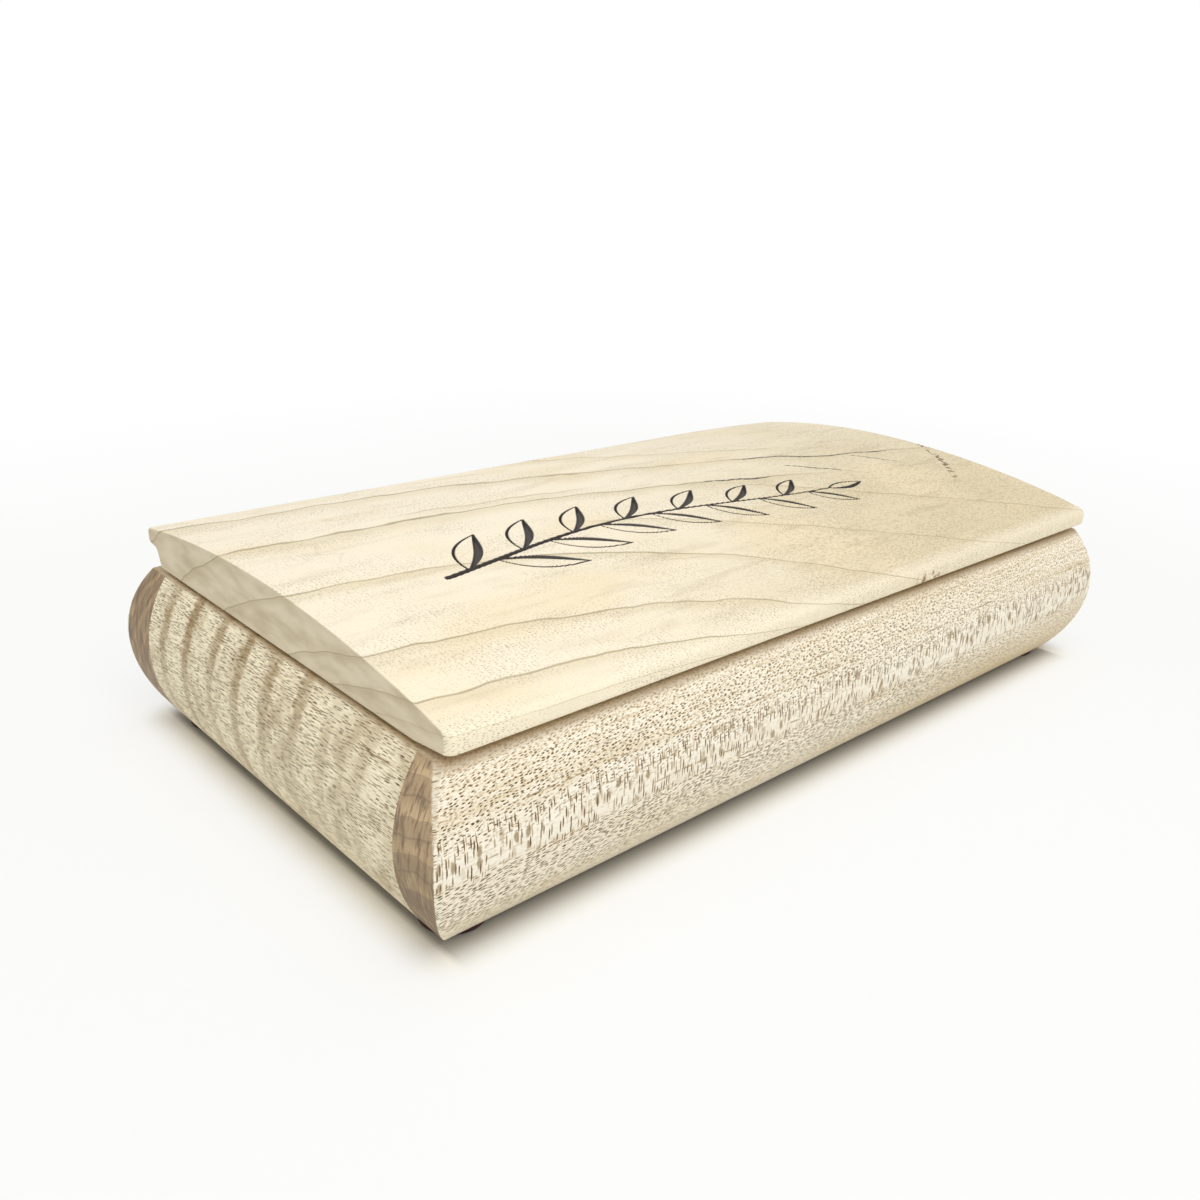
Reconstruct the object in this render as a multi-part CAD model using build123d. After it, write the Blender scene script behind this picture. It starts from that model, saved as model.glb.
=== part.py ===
from build123d import *
import os
from math import sqrt

# A maple keepsake box. Four walls with bulging outer faces are lapped at the corners, and a bottom
# panel sits in grooves in them. An arched lid swings on two brass butt hinges, whose knuckles lie
# in the hollow under the lip along the lid's back edge.
# Frame: the origin is on the table under the middle of the box, +X runs along the front to the
# right, +Y to the back and +Z up. All sizes are in millimetres.

# Walls
BODY_LENGTH = 280.0  # over the bulge of the end walls
BODY_WIDTH = 152.0  # over the bulge of the front and back walls
WALL_HEIGHT = 44.5
WALL_THICK = 19.0  # at the widest line of the bulge
BULGE_RADIUS = 36.0  # arc of each wall's outer face
BULGE_HEIGHT = 23.6  # widest line of the bulge, above the foot of the wall
LAP_TONGUE = 14.8  # what is left of the front and back walls where they lap the end walls
CORNER_ROUND = 1.6  # softened corners of the body
RIM_ROUND = 1.4
FOOT_EDGE_BEVEL = 0.7

# Bottom panel and its felt
PANEL_THICK = 5.0
GROOVE_DEPTH = 5.0
GROOVE_LEDGE = 4.5  # wall left under the groove
PANEL_PLAY = 0.2  # room for the panel to swell
LINING_THICK = 1.2
LINING_PLAY = 0.4

# Feet
FOOT_DIAMETER = 16.0
FOOT_HEIGHT = 2.0
FOOT_END_MARGIN = 0.3  # from the lower edge of the end wall
FOOT_SIDE_MARGIN = 0.8  # from the lower edge of the front or back wall

# Lid
LID_GAP = 1.05  # between the rim and the underside
LID_CROWN = 15.0  # thickness half way from front to back
LID_FRONT_THICK = 6.2
LID_BACK_THICK = 10.0
LID_FRONT_OVERHANG = 2.6  # past the rim
LID_BACK_OVERHANG = 2.0
FINGER_RUN = 13.0  # bevel under the front edge, to lift the lid by
FINGER_RISE = 1.3
FRONT_EDGE_RADIUS = 1.3
LIP_DEPTH = 7.2  # from the back edge to the foot of the riser
LIP_RISE = 5.2  # height of the hollow under the lip
RISER_LEAN = 2.2
LIP_LIFT = 0.6  # by which the lip's underside climbs towards its edge
HOLLOW_RADIUS = 2.0
LIP_RADIUS = 1.5
LID_ARRIS = 0.8  # broken edge round each end

# Lid bumpers
BUMPER_DIAMETER = 8.0
BUMPER_AIR = 0.15  # left between bumper and rim
BUMPER_SETBACK = 3.0  # behind the finger bevel

# Hinges
HINGE_LENGTH = 25.0
HINGE_SPACING = 160.0  # between their middles
LEAF_WIDTH = 9.6  # from the pin's axis to the free edge
LEAF_THICK = 1.2
KNUCKLE_RADIUS = 2.0
KNUCKLE_COUNT = 3
KNUCKLE_PLAY = 0.15  # between neighbouring knuckles
KNUCKLE_ROOM = 0.3  # round the knuckles in the wood and beside the other leaf
PIN_RADIUS = 0.9
PIN_CLEARANCE = 0.04
PIN_INSET = 2.0  # from the rim's back edge to the pin's axis
MORTISE_PLAY = 0.15

# Hinge screws
SCREW_HEAD_RADIUS = 1.8
SCREW_SHANK_RADIUS = 0.9
SCREW_LENGTH = 7.5
SCREW_CLEARANCE = 0.05
SCREW_SPACING = 15.0
SCREW_EDGE = 2.7  # from the leaf's free edge
SLOT_WIDTH = 0.6
SLOT_DEPTH = 0.5

OVERRUN = 5.0  # how far cutting solids pass the faces that they cut


def bulge_inset(height):
    """How far the outer face lies inside its widest line, at a height above the wall's foot."""
    return BULGE_RADIUS - sqrt(BULGE_RADIUS**2 - (height - BULGE_HEIGHT) ** 2)


# Heights and half sizes that several pieces share
FOOT_INSET = bulge_inset(0)
RIM_INSET = bulge_inset(WALL_HEIGHT)
HALF_LENGTH = BODY_LENGTH / 2
HALF_WIDTH = BODY_WIDTH / 2
INNER_X = HALF_LENGTH - WALL_THICK
INNER_Y = HALF_WIDTH - WALL_THICK
LAP_Y = HALF_WIDTH - LAP_TONGUE
RIM_X = HALF_LENGTH - RIM_INSET
RIM_Y = HALF_WIDTH - RIM_INSET
WALL_FOOT_Z = FOOT_HEIGHT
RIM_Z = WALL_FOOT_Z + WALL_HEIGHT
PANEL_Z = WALL_FOOT_Z + GROOVE_LEDGE
UNDERSIDE_Z = RIM_Z + LID_GAP
LID_FRONT_Y = -(RIM_Y + LID_FRONT_OVERHANG)
LID_BACK_Y = RIM_Y + LID_BACK_OVERHANG
PIN_Y = RIM_Y - PIN_INSET
PIN_Z = RIM_Z + LID_GAP / 2
HINGE_XS = {"left": -HINGE_SPACING / 2, "right": HINGE_SPACING / 2}
LEAF_EDGE_Y = PIN_Y - LEAF_WIDTH
SCREW_Y = LEAF_EDGE_Y + SCREW_EDGE


def block(low, high):
    """A box between two opposite corners."""
    centre = [(a + b) / 2 for a, b in zip(low, high)]
    size = [b - a for a, b in zip(low, high)]
    return Pos(*centre) * Box(*size)


def rod(radius, centre_x, length, y, z):
    """A round bar along X."""
    return Pos(centre_x, y, z) * Rot(0, 90, 0) * Cylinder(radius, length)


def bulged_face(half_span):
    """The section across two opposite walls: flat foot and rim, with an arc on each side."""
    foot = half_span - FOOT_INSET
    rim = half_span - RIM_INSET
    edges = [
        Line((-foot, 0), (foot, 0)),
        ThreePointArc((foot, 0), (half_span, BULGE_HEIGHT), (rim, WALL_HEIGHT)),
        Line((rim, WALL_HEIGHT), (-rim, WALL_HEIGHT)),
        ThreePointArc((-rim, WALL_HEIGHT), (-half_span, BULGE_HEIGHT), (-foot, 0)),
    ]
    return make_face(edges)


def body_envelope():
    """The outer form of the body: where two bulging prisms, along X and along Y, meet."""
    along_x = extrude(Plane.YZ * bulged_face(HALF_WIDTH), HALF_LENGTH + OVERRUN, both=True)
    along_y = extrude(Plane.XZ * bulged_face(HALF_LENGTH), HALF_WIDTH + OVERRUN, both=True)
    form = along_x & along_y
    levels = form.edges().group_by(Axis.Z)
    form = fillet(levels[1], CORNER_ROUND)
    form = fillet(form.edges().group_by(Axis.Z)[-1], RIM_ROUND)
    form = chamfer(form.edges().group_by(Axis.Z)[0], FOOT_EDGE_BEVEL)
    return Pos(0, 0, WALL_FOOT_Z) * form


def panel_groove():
    """The space that the walls leave for the bottom panel's edges."""
    reach_x = INNER_X + GROOVE_DEPTH
    reach_y = INNER_Y + GROOVE_DEPTH
    return block((-reach_x, -reach_y, PANEL_Z), (reach_x, reach_y, PANEL_Z + PANEL_THICK))


def long_wall(envelope):
    """The front wall: it runs the full length and is rabbeted where it laps the end walls."""
    low = (-HALF_LENGTH - OVERRUN, -HALF_WIDTH - OVERRUN, 0)
    high = (HALF_LENGTH + OVERRUN, -INNER_Y, RIM_Z + OVERRUN)
    wall = envelope & block(low, high)
    for side in (-1, 1):
        near, far = sorted((side * INNER_X, side * (HALF_LENGTH + OVERRUN)))
        wall -= block((near, -LAP_Y, 0), (far, -INNER_Y + OVERRUN, RIM_Z + OVERRUN))
    return wall - panel_groove()


def end_wall(envelope):
    """The left wall: it ends in the rabbets of the front and back walls."""
    low = (-HALF_LENGTH - OVERRUN, -LAP_Y, 0)
    high = (-INNER_X, LAP_Y, RIM_Z + OVERRUN)
    return (envelope & block(low, high)) - panel_groove()


def hinge_seat(x):
    """The mortise of a body leaf in the back wall, with the open notch round the knuckles."""
    half = HINGE_LENGTH / 2 + MORTISE_PLAY
    notch_radius = KNUCKLE_RADIUS + KNUCKLE_ROOM
    top = RIM_Z + OVERRUN
    mortise = block((x - half, LEAF_EDGE_Y - MORTISE_PLAY, RIM_Z - LEAF_THICK), (x + half, PIN_Y, top))
    notch = block((x - half, PIN_Y, PIN_Z - notch_radius), (x + half, HALF_WIDTH + OVERRUN, top))
    return mortise + notch + rod(notch_radius, x, 2 * half, PIN_Y, PIN_Z)


def screw_form(head_radius, shank_radius, length):
    """A countersunk screw that points along -Z, with the top of its head at the origin."""
    head_height = head_radius - shank_radius
    outline = Polyline(
        (0, 0),
        (head_radius, 0),
        (shank_radius, -head_height),
        (shank_radius, -length),
        (0, -length),
        (0, 0),
    )
    return revolve(Plane.XZ * make_face(outline), Axis.Z)


def hinge_screw():
    low = (-SCREW_HEAD_RADIUS, -SLOT_WIDTH / 2, -SLOT_DEPTH)
    slot = block(low, (SCREW_HEAD_RADIUS, SLOT_WIDTH / 2, OVERRUN))
    return screw_form(SCREW_HEAD_RADIUS, SCREW_SHANK_RADIUS, SCREW_LENGTH) - slot


def screw_hole():
    """The room for a screw: the countersink ends in the leaf's face, the pilot hole in the wood."""
    head_radius = SCREW_HEAD_RADIUS + SCREW_CLEARANCE
    shank_radius = SCREW_SHANK_RADIUS + SCREW_CLEARANCE
    return screw_form(head_radius, shank_radius, SCREW_LENGTH + SCREW_CLEARANCE)


def screw_places(hinge_x, on_lid):
    """Where a leaf's screws go: down from the rim, or up from the lid's underside."""
    places = []
    for side in (-1, 1):
        x = hinge_x + side * SCREW_SPACING / 2
        if on_lid:
            places.append(Pos(x, SCREW_Y, UNDERSIDE_Z) * Rot(180, 0, 0))
        else:
            places.append(Pos(x, SCREW_Y, RIM_Z))
    return places


def drilled(piece, on_lid, hinge_xs):
    """A piece with the holes of the screws of the hinges at hinge_xs."""
    for x in hinge_xs:
        for place in screw_places(x, on_lid):
            piece -= place * screw_hole()
    return piece


def hinge_leaf(x, on_lid):
    """A brass leaf: a flat plate that meets every other knuckle of the hinge."""
    base = UNDERSIDE_Z if on_lid else RIM_Z - LEAF_THICK
    half = HINGE_LENGTH / 2
    pitch = HINGE_LENGTH / KNUCKLE_COUNT
    plate_end = PIN_Y - KNUCKLE_RADIUS - KNUCKLE_ROOM
    leaf = block((x - half, LEAF_EDGE_Y, base), (x + half, plate_end, base + LEAF_THICK))
    for index in range(1 if on_lid else 0, KNUCKLE_COUNT, 2):
        middle = x - half + (index + 1 / 2) * pitch
        reach = (pitch - KNUCKLE_PLAY) / 2
        leaf += block((middle - reach, plate_end, base), (middle + reach, PIN_Y, base + LEAF_THICK))
        leaf += rod(KNUCKLE_RADIUS, middle, 2 * reach, PIN_Y, PIN_Z)
    leaf -= rod(PIN_RADIUS + PIN_CLEARANCE, x, HINGE_LENGTH + OVERRUN, PIN_Y, PIN_Z)
    return drilled(leaf, on_lid, [x])


def lid_section():
    """The lid across its width, from its underside: finger bevel, arch, lip and riser."""
    top = UNDERSIDE_Z
    front_low = (LID_FRONT_Y, top + FINGER_RISE)
    front_high = (LID_FRONT_Y, top + LID_FRONT_THICK)
    crown = ((LID_FRONT_Y + LID_BACK_Y) / 2, top + LID_CROWN)
    back_high = (LID_BACK_Y, top + LID_BACK_THICK)
    back_low = (LID_BACK_Y, top + LIP_RISE + LIP_LIFT)
    riser_high = (LID_BACK_Y - LIP_DEPTH + RISER_LEAN, top + LIP_RISE)
    riser_low = (LID_BACK_Y - LIP_DEPTH, top)
    bevel_start = (LID_FRONT_Y + FINGER_RUN, top)
    arch = ThreePointArc(front_high, crown, back_high)
    rest = Polyline(back_high, back_low, riser_high, riser_low, bevel_start, front_low, front_high)
    section = make_face([arch, rest])
    rounds = (
        (front_low, FRONT_EDGE_RADIUS),
        (front_high, FRONT_EDGE_RADIUS),
        (back_high, LIP_RADIUS),
        (back_low, LIP_RADIUS),
        (riser_high, HOLLOW_RADIUS),
    )
    for point, radius in rounds:
        corner = section.vertices().sort_by_distance(point)[0]
        section = fillet(corner, radius)
    return section


def lid_board():
    """The lid, with its ends in line with the rim's ends and seats for the hinge leaves."""
    board = extrude(Plane.YZ * lid_section(), RIM_X, both=True)
    end_edges = [edge for end in board.faces().filter_by(Axis.X) for edge in end.edges()]
    board = chamfer(end_edges, LID_ARRIS)
    half = HINGE_LENGTH / 2 + MORTISE_PLAY
    for x in HINGE_XS.values():
        low = (x - half, LEAF_EDGE_Y - MORTISE_PLAY, UNDERSIDE_Z - OVERRUN)
        board -= block(low, (x + half, LID_BACK_Y, UNDERSIDE_Z + LEAF_THICK))
    return drilled(board, True, HINGE_XS.values())


def foot(side_x, side_y):
    """A disc under a corner."""
    x = side_x * (HALF_LENGTH - FOOT_INSET - FOOT_END_MARGIN - FOOT_DIAMETER / 2)
    y = side_y * (HALF_WIDTH - FOOT_INSET - FOOT_SIDE_MARGIN - FOOT_DIAMETER / 2)
    disc = Cylinder(FOOT_DIAMETER / 2, FOOT_HEIGHT, align=(Align.CENTER, Align.CENTER, Align.MIN))
    return Pos(x, y, 0) * disc


def lid_bumper(side_x):
    """A thin dot under the lid, over the middle of an end wall's rim."""
    thick = LID_GAP - BUMPER_AIR
    x = side_x * (INNER_X + RIM_X) / 2
    y = LID_FRONT_Y + FINGER_RUN + BUMPER_SETBACK + BUMPER_DIAMETER / 2
    return Pos(x, y, UNDERSIDE_Z - thick / 2) * Cylinder(BUMPER_DIAMETER / 2, thick)


def bottom_panel():
    reach_x = INNER_X + GROOVE_DEPTH - PANEL_PLAY
    reach_y = INNER_Y + GROOVE_DEPTH - PANEL_PLAY
    return block((-reach_x, -reach_y, PANEL_Z), (reach_x, reach_y, PANEL_Z + PANEL_THICK))


def floor_lining():
    base = PANEL_Z + PANEL_THICK
    reach_x = INNER_X - LINING_PLAY
    reach_y = INNER_Y - LINING_PLAY
    return block((-reach_x, -reach_y, base), (reach_x, reach_y, base + LINING_THICK))


def build():
    envelope = body_envelope()
    front = long_wall(envelope)
    left = end_wall(envelope)
    back = mirror(front, about=Plane.XZ)
    for x in HINGE_XS.values():
        back -= hinge_seat(x)
    nodes = {
        "front_wall": front,
        "back_wall": drilled(back, False, HINGE_XS.values()),
        "left_wall": left,
        "right_wall": mirror(left, about=Plane.YZ),
        "bottom_panel": bottom_panel(),
        "floor_lining": floor_lining(),
        "lid": lid_board(),
    }
    for name, x in HINGE_XS.items():
        nodes[f"hinge_{name}_body_leaf"] = hinge_leaf(x, False)
        nodes[f"hinge_{name}_lid_leaf"] = hinge_leaf(x, True)
        nodes[f"hinge_{name}_pin"] = rod(PIN_RADIUS, x, HINGE_LENGTH, PIN_Y, PIN_Z)
    for group, on_lid in (("body", False), ("lid", True)):
        places = [place for x in HINGE_XS.values() for place in screw_places(x, on_lid)]
        nodes[f"hinge_screws_{group}"] = Compound(children=[place * hinge_screw() for place in places])
    for side_y, depth in ((-1, "front"), (1, "back")):
        for side_x, side in ((-1, "left"), (1, "right")):
            nodes[f"foot_{depth}_{side}"] = foot(side_x, side_y)
    for side_x, side in ((-1, "left"), (1, "right")):
        nodes[f"lid_bumper_{side}"] = lid_bumper(side_x)
    return nodes


os.makedirs("parts", exist_ok=True)
for node, shape in build().items():
    export_step(shape, f"parts/{node}.step")
print("pin axis", PIN_Y, PIN_Z, "rim", RIM_X, RIM_Y, RIM_Z, "inner", INNER_X, INNER_Y)
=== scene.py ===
"""The looks of a maple keepsake box: carved lid, curly ends, brass hinges, felt and leather feet."""

from functools import partial, reduce
from math import cos, pi, radians

import bpy
import numpy as np
from mathutils import Matrix, Vector


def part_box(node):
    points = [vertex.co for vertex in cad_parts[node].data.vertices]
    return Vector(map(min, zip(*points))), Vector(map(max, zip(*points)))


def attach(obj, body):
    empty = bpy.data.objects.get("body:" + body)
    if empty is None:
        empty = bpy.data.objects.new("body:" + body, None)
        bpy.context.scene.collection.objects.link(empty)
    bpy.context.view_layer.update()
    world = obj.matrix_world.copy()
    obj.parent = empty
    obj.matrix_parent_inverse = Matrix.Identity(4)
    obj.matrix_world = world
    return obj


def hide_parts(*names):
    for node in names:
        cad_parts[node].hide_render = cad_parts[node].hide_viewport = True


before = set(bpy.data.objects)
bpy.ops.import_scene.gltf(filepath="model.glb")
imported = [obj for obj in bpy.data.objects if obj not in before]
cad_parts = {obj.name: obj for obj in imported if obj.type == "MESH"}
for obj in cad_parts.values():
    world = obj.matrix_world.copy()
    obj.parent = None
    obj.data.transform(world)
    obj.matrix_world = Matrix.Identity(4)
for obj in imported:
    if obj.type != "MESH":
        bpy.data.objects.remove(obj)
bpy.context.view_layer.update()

bl_info = {
    "name": "Maple keepsake box",
    "version": (1, 0, 0),
    "blender": (4, 5, 0),
    "location": "View3D > Sidebar > Keepsake",
    "description": "Dresses the packed keepsake box in carved maple, brass, felt and leather",
    "category": "Object",
}

MM = 0.001
TINY = 0.01 * MM
SHARP_ANGLE = radians(38)
BLACK = (0.0, 0.0, 0.0)
WHITE = (1.0, 1.0, 1.0)

# The lid's section, beyond its box: heights count from the underside
LID_LOW, LID_HIGH = (np.array(corner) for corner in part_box("lid"))
LID_FRONT_THICK = 6.2 * MM
LID_CROWN = 14.96 * MM
LID_BACK_THICK = 10.0 * MM
FINGER_RUN = 13.0 * MM
FINGER_RISE = 1.3 * MM
FRONT_EDGE_RADIUS = 1.3 * MM
FRONT_TOP_RADIUS = 2.2 * MM
LIP_DEPTH = 7.2 * MM
LIP_RISE = 5.2 * MM
LIP_LIFT = 0.6 * MM
RISER_LEAN = 2.2 * MM
HOLLOW_RADIUS = 2.0 * MM
LIP_RADIUS = 1.5 * MM
RISER_FOOT_RADIUS = 0.8 * MM
BEVEL_RADIUS = 20.0 * MM
LEAF_THICK = 1.2 * MM
MORTISE_PLAY = 0.15 * MM
CORNER_WORN = 55.0 * MM


def linear(hex_colour):
    """An sRGB hex colour as linear red, green and blue."""
    srgb = np.array([int(hex_colour[i : i + 2], 16) for i in (1, 3, 5)]) / 255
    return tuple(np.where(srgb <= 0.04045, srgb / 12.92, ((srgb + 0.055) / 1.055) ** 2.4))


def colour_setting(name, description, hex_colour):
    return bpy.props.FloatVectorProperty(
        name=name, description=description, subtype="COLOR", default=linear(hex_colour), min=0, max=1
    )


def length_setting(name, description, millimetres):
    return bpy.props.FloatProperty(
        name=name, description=description, subtype="DISTANCE", unit="LENGTH", default=millimetres * MM
    )


def angle_setting(name, description, degrees):
    return bpy.props.FloatProperty(
        name=name, description=description, subtype="ANGLE", default=radians(degrees)
    )


def place_setting(name, description, metres):
    return bpy.props.FloatVectorProperty(
        name=name, description=description, subtype="XYZ", unit="LENGTH", default=metres
    )


class KeepsakeSizes(bpy.types.PropertyGroup):
    """Sizes of the dressed pieces that a user would change."""

    lid_arris: length_setting("Lid arris", "Radius of the softened edge round the lid's ends", 0.5)
    lid_corner: length_setting("Lid corner", "Radius of the lid's front corners, seen from above", 2.5)
    carve_depth: length_setting("Carving depth", "Depth of the carved sprig", 0.9)
    carve_step: length_setting("Carving step", "Distance between the surface points of the carving", 0.4)
    corner_worn: length_setting("Worn corner", "How far the back right corner is sanded off", 1.5)
    sprig_length: length_setting("Sprig length", "Length of the carved sprig's stem", 150.0)
    sprig_sway: length_setting("Sprig sway", "How far the stem swings to each side", 6.0)
    sprig_x: length_setting("Sprig place", "Middle of the sprig along the lid", -20.0)
    sprig_y: length_setting("Sprig set", "Middle of the sprig across the lid", -14.0)
    foot_round: length_setting("Foot edge", "Radius of a foot's worn lower edge", 0.5)
    felt_nap: length_setting("Felt nap", "Unevenness of the felt's upper face", 0.12)


class KeepsakeColours(bpy.types.PropertyGroup):
    """Colours of the finishes."""

    lid_cream: colour_setting("Lid cream", "Sapwood of the lid", "#FFF3D9")
    lid_tan: colour_setting("Lid tan", "Darker patches of the lid", "#DCCBA0")
    lid_warm: colour_setting("Lid warm", "Warmer patches of the lid", "#F8E6BF")
    lid_end: colour_setting("Lid end", "End grain of the lid", "#E4D6BA")
    lid_end_dark: colour_setting("Lid end dark", "Darker grain of the lid's ends", "#B9A681")
    ring: colour_setting("Growth ring", "Thin dark edge of a growth ring", "#A5936C")
    mineral: colour_setting("Mineral streak", "Dark streaks along some rings", "#2E251B")
    char: colour_setting("Carving", "Floor of the carved strokes", "#281F18")
    wall_cream: colour_setting("Wall cream", "Face of the front and back walls", "#FFF6E3")
    wall_pale: colour_setting("Wall pale", "Ground of the fleck band", "#FFF8E8")
    wall_tan: colour_setting("Wall tan", "Darker zones of the front and back walls", "#D8C294")
    tick: colour_setting("Pore", "Short dark pores of the walls", "#4C3818")
    pore_rim: colour_setting("Pore rim", "Brown round a pore or fleck", "#A98746")
    fleck: colour_setting("Ray fleck", "Tall flecks in the band along the wall", "#8C6438")
    end_grain: colour_setting("End grain", "Cut ends of the front and back walls", "#A88D68")
    end_light: colour_setting("End grain light", "Upper part of the cut ends", "#CFB28B")
    end_dark: colour_setting("End grain dark", "Darker rings of the cut ends", "#6C5640")
    curl_light: colour_setting("Curl light", "Bright side of the curly figure", "#FFF4D5")
    curl_dark: colour_setting("Curl dark", "Shaded side of the curly figure", "#9D8152")
    felt: colour_setting("Felt", "Lining of the floor", "#5B3D2E")
    leather: colour_setting("Leather", "Discs under the corners", "#4A1F1B")
    brass: colour_setting("Brass", "Hinges and screws", "#D9B36A")
    rubber: colour_setting("Bumper", "Clear dots under the lid", "#E6E3DA")
    floor: colour_setting("Floor", "Plain pale floor", "#F3F4EF")


class KeepsakeStage(bpy.types.PropertyGroup):
    """Camera, lamps and floor."""

    camera_place: place_setting("Camera place", "Where the camera stands", (-0.2459, -0.2305, 0.1602))
    camera_yaw: angle_setting("Camera yaw", "Turn from the back towards the right", 43.53)
    camera_dip: angle_setting("Camera dip", "Angle below the horizon", 21.6)
    camera_roll: angle_setting("Camera roll", "Tilt about the line of sight", 2.98)
    camera_lens: bpy.props.FloatProperty(
        name="Lens", description="Focal length in millimetres on a 36 mm frame", default=33.94
    )
    key_place: place_setting("Key lamp place", "Where the large soft lamp hangs", (-0.25, -0.6, 1.1))
    key_power: bpy.props.FloatProperty(
        name="Key lamp", description="Power of the large soft lamp", subtype="POWER", default=7.5
    )
    key_size: length_setting("Key lamp size", "Side of the large soft lamp", 900.0)
    sky: bpy.props.FloatProperty(name="Sky", description="Even light from all sides", default=0.63)
    floor_size: length_setting("Floor size", "Side of the floor", 12000.0)


def fill(tree, socket, value):
    """Links an output to a socket, or sets the socket to a number, a vector or a colour."""
    if isinstance(value, bpy.types.NodeSocket):
        tree.links.new(value, socket)
    elif socket.type == "RGBA":
        socket.default_value = (*value, 1.0)
    else:
        socket.default_value = value


# The setting that takes a node's mode, which is written after a dot in its kind
MODES = {
    "Math": "operation",
    "VectorMath": "operation",
    "MapRange": "interpolation_type",
    "Mix": "data_type",
}


def add(tree, kind, *inputs, **settings):
    """Adds a node with its settings, fills its sockets in use in their order and returns its output. The
    kind may carry the node's mode, as in Math.MULTIPLY."""
    kind, _, mode = kind.partition(".")
    if mode:
        settings[MODES[kind]] = mode
    node = tree.nodes.new("ShaderNode" + kind)
    for name, value in settings.items():
        setattr(node, name, value)
    for socket, value in zip([socket for socket in node.inputs if socket.enabled], inputs):
        if value is not None:
            fill(tree, socket, value)
    return next(output for output in node.outputs if output.enabled)


def overlap(node, *masks):
    """The product of masks. Each is a number, an output, or a row that tells a smooth ramp: an output,
    two of its values, and what the mask is there if not 0 and 1."""
    shown = [node("MapRange.SMOOTHSTEP", *mask) if isinstance(mask, tuple) else mask for mask in masks]
    return reduce(partial(node, "Math.MULTIPLY"), shown)


def soft_patches(node, place, size, *levels, detail=2.0):
    """A soft random tone about 0.5, in patches of the given size in millimetres along x, y and z. Levels
    turn it into a mask, as those of a smooth ramp."""
    tone = node("TexNoise", node("VectorMath.DIVIDE", place, size), 1.0, detail)
    return overlap(node, (tone, *levels)) if levels else tone


def new_finish(name):
    """A material, the function that adds to its nodes, the one for its patches, and a place in mm."""
    made = bpy.data.materials.new(name)
    made.use_nodes = True
    node = partial(add, made.node_tree)
    place = node("VectorMath.SCALE", node("TexCoord").node.outputs["Object"])
    place.node.inputs["Scale"].default_value = 1 / MM
    return made, node, partial(soft_patches, node, place), place


def set_shader(made, **sockets):
    """Fills the shader's sockets, named with underscores for spaces."""
    shader = made.node_tree.nodes["Principled BSDF"]
    for name, value in sockets.items():
        fill(made.node_tree, shader.inputs[name.replace("_", " ")], value)
    return made


def dashes(node, along, up, size, pitch):
    """Dashes of the given length and height in millimetres, one at a random spot of each cell of the
    given pitch: an ellipse about the cell's point. Returns their mask and a random tone for each."""
    cell = node(
        "CombineXYZ",
        node("Math.MULTIPLY", along, 1 / pitch[0]),
        node("Math.MULTIPLY", up, 1 / pitch[1]),
    )
    spot = node("TexVoronoi", cell, 1.0, voronoi_dimensions="2D")
    away = node("VectorMath.SUBTRACT", cell, spot.node.outputs["Position"])
    away = node("VectorMath.MULTIPLY", away, (2 * pitch[0] / size[0], 2 * pitch[1] / size[1], 0.0))
    away = node("VectorMath.LENGTH", away).node.outputs["Value"]
    return overlap(node, (away, *DASH_EDGE)), node("SeparateColor", spot.node.outputs["Color"])


def coat(node, tone, *layers):
    """Lays colours over a tone in turn. A layer is a row: the masks that show it, then its colour."""
    for *masks, colour in layers:
        tone = node("Mix.RGBA", overlap(node, *masks), tone, colour)
    return tone


def stain(node, tone, colours, core, *masks):
    """Darkens a tone where masks show a pore or a fleck: through brown at its rim to its dark core."""
    mask = overlap(node, *masks)
    return coat(node, tone, (mask, colours.pore_rim), (mask, mask, core))


def growth_lines(node, tone, height, lines, wide, broken, colours):
    """Draws growth lines, rows of height and darkness, of one half width and broken up by a mask."""
    for line_at, dark in lines:
        apart = node("Math.ABSOLUTE", node("Math.SUBTRACT", height, line_at))
        tone = stain(node, tone, colours, colours.tick, (apart, wide, LINE_CORE, 0.0, dark), broken)
    return tone


# What sanding and oil give maple: a dull gloss, and pores that catch a little shade
WOOD_ROUGHNESS = 0.55
WOOD_IOR = 1.5
PORE_DEPTH = 0.05 * MM
LINE_CORE = 0.05  # half width in mm of the darkest part of a line
DASH_EDGE = (1.25, 0.6)  # where a dash fades out, in shares of its size
# Pores and flecks in mm: their length and height, then their pitch along the grain and up
LID_PORES = ((0.6, 0.2), (1.2, 0.4))
WALL_HAZE = ((0.8, 0.27), (1.1, 0.44))
WALL_PORES = ((0.92, 0.33), (1.35, 0.64))
FINE_PORES = ((1.3, 0.31), (1.5, 0.52))
BROAD_FLECKS = ((1.4, 3.0), (3.2, 3.8))
THIN_FLECKS = ((0.42, 2.9), (0.76, 3.0))
CURL_PORES = ((2.1, 0.21), (1.8, 0.4))
PANEL_PORES = ((1.0, 0.3), (2.0, 0.6))


def oiled(made, node, tone, pores):
    """The finish of sanded and oiled wood, with its pores a little sunk."""
    bump = node("Bump", 0.4, PORE_DEPTH, None, pores, invert=True)
    return set_shader(made, Base_Color=tone, Normal=bump, Roughness=WOOD_ROUGHNESS, IOR=WOOD_IOR)


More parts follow.
